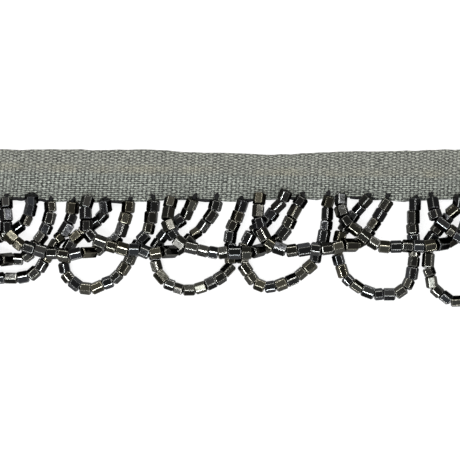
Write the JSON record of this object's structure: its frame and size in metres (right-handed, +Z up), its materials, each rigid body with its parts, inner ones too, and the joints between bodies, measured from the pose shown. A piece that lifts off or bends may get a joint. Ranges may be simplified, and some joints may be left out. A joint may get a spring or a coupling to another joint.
{
  "type": "beaded fringe trim",
  "caption": "Length of narrow woven tape lying flat, with looped strings of black six-sided glass beads sewn along one edge as shallow swags over deeper drops.",
  "frame": {"origin": "middle of the tape's underside, on the surface that the trim lies on", "axes": "+X along the tape, +Y from the loops up to the tape, +Z up from the surface"},
  "size_m": [0.16, 0.0372, 0.0048],
  "materials": {
    "tape_cloth": "matt plain-woven tape",
    "bead_glass": "opaque black glass with a dark metallic lustre"
  },
  "bodies": {
    "root": {"tape": "tape_cloth", "bead_fringe": "bead_glass"}
  },
  "joints": []
}
